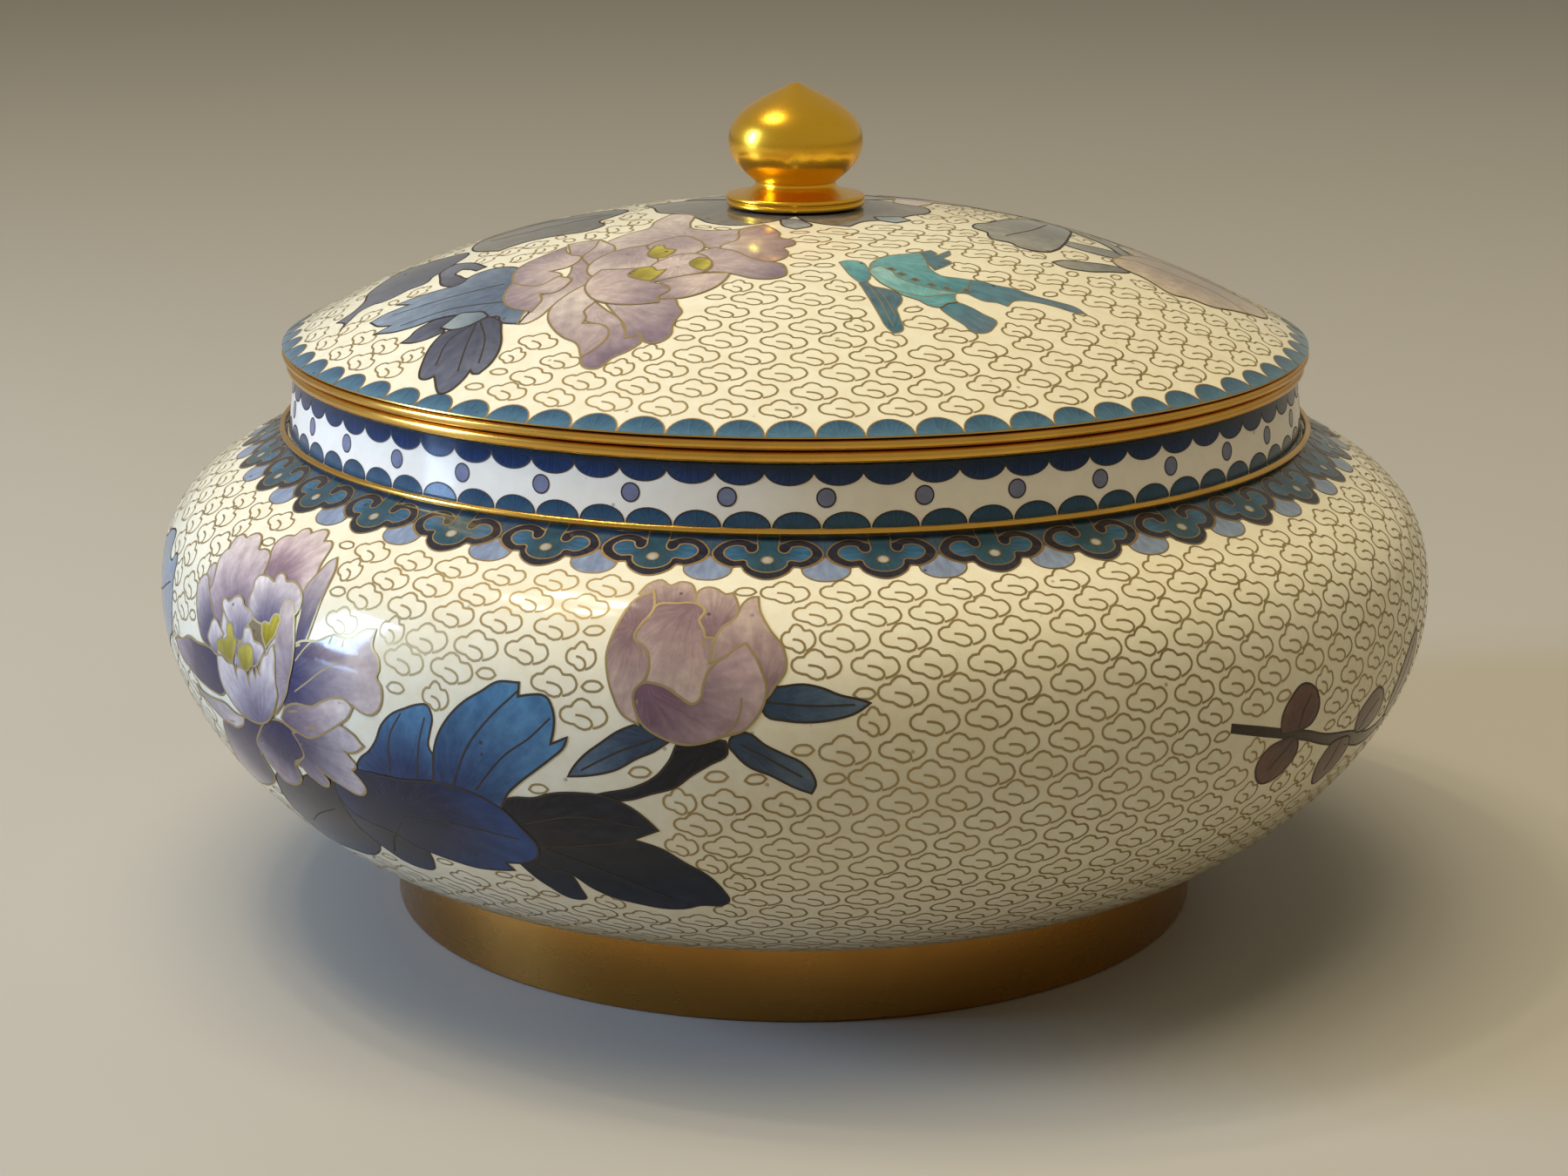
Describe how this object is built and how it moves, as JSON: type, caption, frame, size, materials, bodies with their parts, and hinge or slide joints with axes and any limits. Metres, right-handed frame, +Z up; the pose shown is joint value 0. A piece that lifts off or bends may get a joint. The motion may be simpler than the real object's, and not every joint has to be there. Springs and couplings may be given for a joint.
{
  "type": "lidded enamel pot",
  "caption": "Round squat enamelled copper pot with a lift-off domed lid, brass rings and a pointed gilt knob; holds small things.",
  "frame": {"origin": "centre of the foot ring's underside, on the floor", "axes": "+Z up along the axis of the pot, -Y towards the viewer of the picture, +X to the picture's right"},
  "size_m": [0.25, 0.25, 0.1613],
  "materials": {
    "bowl_enamel": "glossy",
    "foot_brass": "satin",
    "wire_brass": "satin",
    "rim_brass": "polished",
    "lid_brass": "polished",
    "lid_enamel": "glossy",
    "knob_gilt": "polished"
  },
  "bodies": {
    "root": {"bowl": "bowl_enamel", "foot_ring": "foot_brass", "neck_wire": "wire_brass", "rim_ring": "rim_brass", "lid_ring": "lid_brass", "lid": "lid_enamel", "finial": "knob_gilt"}
  },
  "joints": []
}
